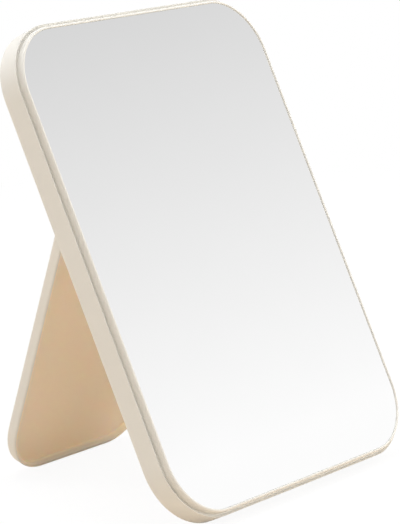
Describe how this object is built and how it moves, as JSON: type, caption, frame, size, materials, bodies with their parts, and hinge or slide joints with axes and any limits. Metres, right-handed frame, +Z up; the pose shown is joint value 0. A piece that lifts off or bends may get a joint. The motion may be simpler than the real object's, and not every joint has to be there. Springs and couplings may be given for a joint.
{
  "type": "folding makeup mirror",
  "caption": "Upright rectangular tabletop mirror with rounded corners in a thin cream plastic frame, held up by a narrower tray-shaped stand that folds flush into the back.",
  "frame": {"origin": "on the table, under the middle of the bounding box of the mirror standing with its stand open", "axes": "+Z up from the table, -Y the way the mirror faces, +X to the right of someone looking into the mirror"},
  "size_m": [0.15, 0.1266, 0.1872],
  "materials": {
    "shell_plastic": "fine matt moulded cream",
    "frame_plastic": "fine satin moulded cream",
    "stand_plastic": "fine matt moulded cream",
    "silvered_glass": "clear silvered mirror",
    "backing_film": "dull grey film",
    "foam_tape": "white foam",
    "screw_steel": "bright zinc",
    "spring_steel": "oiled spring steel",
    "pin_steel": "ground steel",
    "bush_plastic": "natural acetal",
    "washer_plastic": "natural nylon"
  },
  "bodies": {
    "mirror_head": {"rear_shell": "shell_plastic", "front_frame": "frame_plastic", "mirror_glass": "silvered_glass", "safety_film": "backing_film", "tape_top": "foam_tape", "tape_bottom": "foam_tape", "tape_left": "foam_tape", "tape_right": "foam_tape", "clip_screws": "screw_steel", "friction_clip_left": "spring_steel", "friction_clip_right": "spring_steel", "hinge_bush_left": "bush_plastic", "hinge_bush_right": "bush_plastic"},
    "stand": {"stand_panel": "stand_plastic", "hinge_pin_left": "pin_steel", "hinge_pin_right": "pin_steel", "thrust_washer_left": "washer_plastic", "thrust_washer_right": "washer_plastic"}
  },
  "joints": [
    {"name": "stand_fold", "type": "hinge", "parent": "mirror_head", "child": "stand", "pos_m": [0, 0.00555, 0.14347], "axis": [1, 0, 0], "range_deg": [-44.4, 45.6]}
  ]
}
